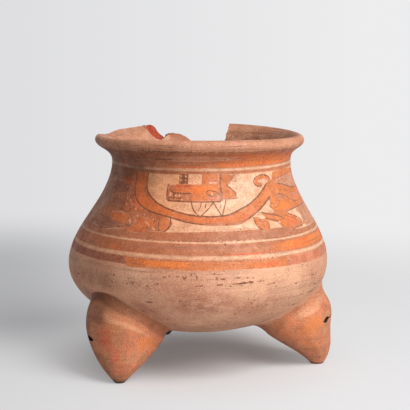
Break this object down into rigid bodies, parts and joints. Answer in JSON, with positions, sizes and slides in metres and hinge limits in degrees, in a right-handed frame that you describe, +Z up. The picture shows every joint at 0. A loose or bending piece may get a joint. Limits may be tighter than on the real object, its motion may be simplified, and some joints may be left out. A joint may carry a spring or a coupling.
{
  "type": "tripod vase",
  "caption": "Round necked clay vase with an everted, broken rim and painted bands, standing on hollow slit rattle legs with loose clay pellets inside.",
  "frame": {"origin": "on the floor under the bowl's axis, the centre of the bottom of the bounding box", "axes": "+Z up along the bowl's axis, +Y towards the back where the rim is broken, +X towards the right leg"},
  "size_m": [0.2233, 0.22, 0.1945],
  "materials": {
    "painted_slip": "burnished slip with orange, brown and cream paint, worn and crackled",
    "leg_slip": "worn orange slip over buff clay",
    "bare_clay": "unslipped fired clay, rough"
  },
  "bodies": {
    "vase": {"vessel_body": "painted_slip", "leg_front_left": "leg_slip", "leg_right": "leg_slip", "leg_back": "leg_slip"},
    "front_left_pellet_1": {"pellet_front_left_1": "bare_clay"},
    "front_left_pellet_2": {"pellet_front_left_2": "bare_clay"},
    "front_left_pellet_3": {"pellet_front_left_3": "bare_clay"},
    "right_pellet_1": {"pellet_right_1": "bare_clay"},
    "right_pellet_2": {"pellet_right_2": "bare_clay"},
    "right_pellet_3": {"pellet_right_3": "bare_clay"},
    "back_pellet_1": {"pellet_back_1": "bare_clay"},
    "back_pellet_2": {"pellet_back_2": "bare_clay"},
    "back_pellet_3": {"pellet_back_3": "bare_clay"}
  },
  "joints": [
    {"name": "front_left_pellet_1_hop", "type": "slide", "parent": "vase", "child": "front_left_pellet_1", "axis": [0, 0, 1], "range_m": [0, 0.0365]},
    {"name": "front_left_pellet_2_hop", "type": "slide", "parent": "vase", "child": "front_left_pellet_2", "axis": [0, 0, 1], "range_m": [0, 0.03]},
    {"name": "front_left_pellet_3_hop", "type": "slide", "parent": "vase", "child": "front_left_pellet_3", "axis": [0, 0, 1], "range_m": [0, 0.031]},
    {"name": "right_pellet_1_hop", "type": "slide", "parent": "vase", "child": "right_pellet_1", "axis": [0, 0, 1], "range_m": [0, 0.0375]},
    {"name": "right_pellet_2_hop", "type": "slide", "parent": "vase", "child": "right_pellet_2", "axis": [0, 0, 1], "range_m": [0, 0.033]},
    {"name": "right_pellet_3_hop", "type": "slide", "parent": "vase", "child": "right_pellet_3", "axis": [0, 0, 1], "range_m": [0, 0.033]},
    {"name": "back_pellet_1_hop", "type": "slide", "parent": "vase", "child": "back_pellet_1", "axis": [0, 0, 1], "range_m": [0, 0.0305]},
    {"name": "back_pellet_2_hop", "type": "slide", "parent": "vase", "child": "back_pellet_2", "axis": [0, 0, 1], "range_m": [0, 0.026]},
    {"name": "back_pellet_3_hop", "type": "slide", "parent": "vase", "child": "back_pellet_3", "axis": [0, 0, 1], "range_m": [0, 0.026]}
  ]
}
